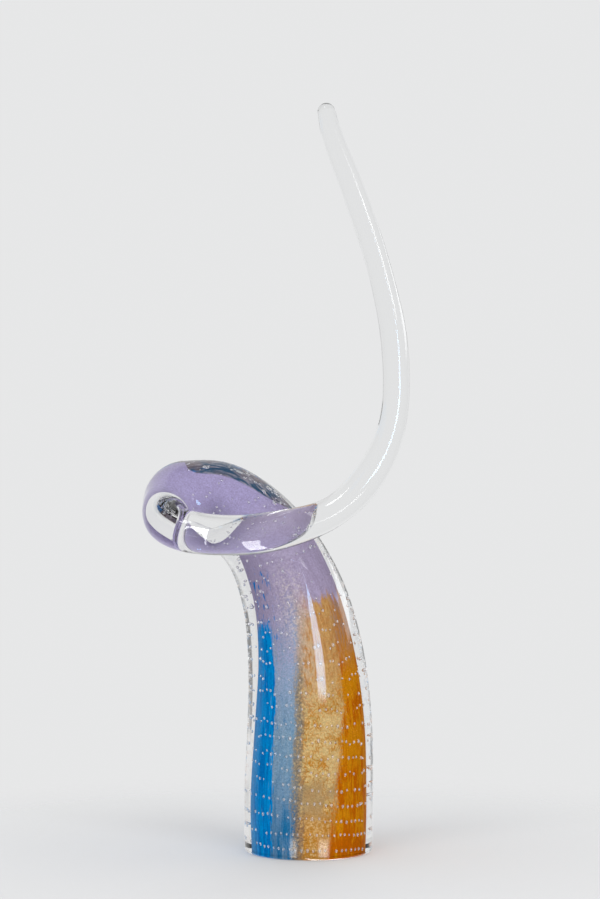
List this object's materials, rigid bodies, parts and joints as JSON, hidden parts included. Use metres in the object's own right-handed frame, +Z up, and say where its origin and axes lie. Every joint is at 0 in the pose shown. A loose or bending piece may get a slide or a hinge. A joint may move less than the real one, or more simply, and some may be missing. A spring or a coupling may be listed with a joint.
{
  "type": "glass sculpture",
  "caption": "Abstract art-glass sculpture: a leaning column of layered coloured glass in a thick clear casing, drawn over into a head and a clear upswept tail.",
  "frame": {"origin": "centre of the ground base face", "axes": "+Z up the column, -Y towards the viewer, where the tail crosses in front; the head leans towards -X"},
  "size_m": [0.1984, 0.1305, 0.5557],
  "materials": {
    "clear_glass": "fire-polished clear glass",
    "opal_glass": "cloudy opal glass",
    "blue_glass": "streaky opaque blue glass",
    "steel_blue_glass": "granular grey-blue glass",
    "cream_glass": "granular cream glass",
    "amber_glass": "streaky amber glass",
    "lilac_glass": "cloudy lilac glass"
  },
  "bodies": {
    "root": {"clear_casing": "clear_glass", "drawn_tail": "clear_glass", "inner_gather": "opal_glass", "blue_band": "blue_glass", "steel_blue_band": "steel_blue_glass", "cream_band": "cream_glass", "amber_band": "amber_glass", "lilac_overlay": "lilac_glass"}
  },
  "joints": []
}
